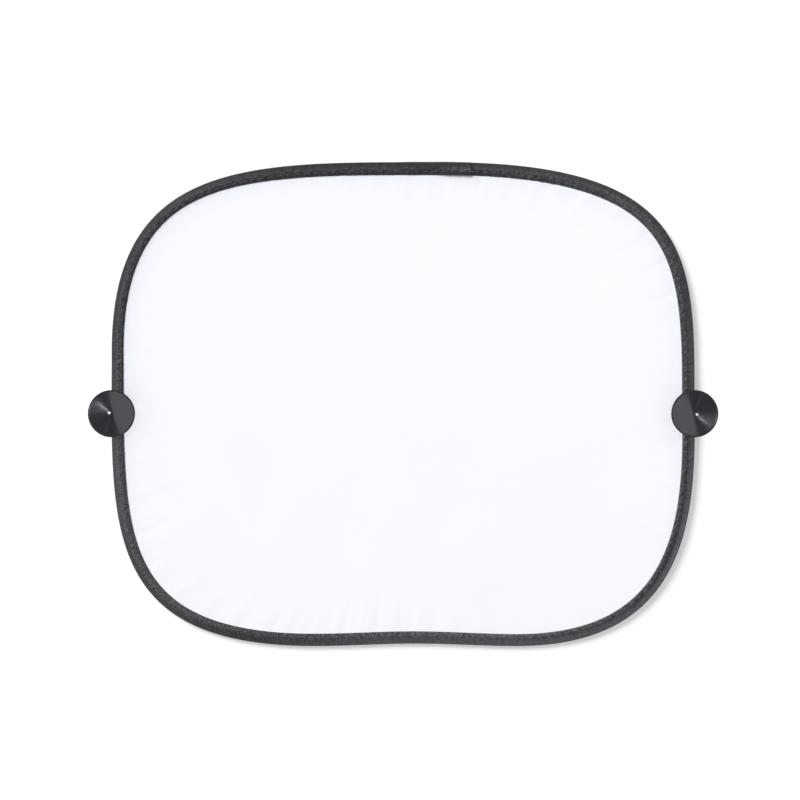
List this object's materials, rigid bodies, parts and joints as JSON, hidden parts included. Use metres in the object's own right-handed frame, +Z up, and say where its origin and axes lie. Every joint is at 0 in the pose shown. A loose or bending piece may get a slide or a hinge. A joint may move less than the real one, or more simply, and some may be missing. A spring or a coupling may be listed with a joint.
{
  "type": "car window sunshade",
  "caption": "Rounded side-window sunshade: plain cloth in a spring-wire loop with a sewn binding tape and a suction cup at each side.",
  "frame": {"origin": "middle of the whole shade, on the surface that it lies on", "axes": "+Z up, out of the mouths of the suction cups; +X from the left cup to the right one; +Y towards the shade's top edge"},
  "size_m": [0.4732, 0.3662, 0.0138],
  "materials": {
    "shade_cloth": "matt, plain white, tightly woven",
    "binding_tape": "matt, charcoal, fibrous",
    "spring_wire": "drawn, satin",
    "crimp_sleeve": "plated, satin",
    "sewing_thread": "matt, grey",
    "cup_pvc": "moulded, semi-gloss, black"
  },
  "bodies": {
    "shade": {"shade_panel": "shade_cloth", "edge_binding": "binding_tape", "frame_wire": "spring_wire", "wire_sleeve": "crimp_sleeve", "needle_thread": "sewing_thread", "bobbin_thread": "sewing_thread"},
    "left_cup": {"left_suction_cup": "cup_pvc"},
    "right_cup": {"right_suction_cup": "cup_pvc"}
  },
  "joints": [
    {"name": "left_cup_tilt", "type": "hinge", "parent": "shade", "child": "left_cup", "pos_m": [-0.21887, -0.0074, 0.0028], "axis": [0.0029, 1, 0], "range_deg": [-90, 20]},
    {"name": "right_cup_tilt", "type": "hinge", "parent": "shade", "child": "right_cup", "pos_m": [0.21887, -0.0074, 0.0028], "axis": [0.0045, -1, 0], "range_deg": [-90, 20]}
  ]
}
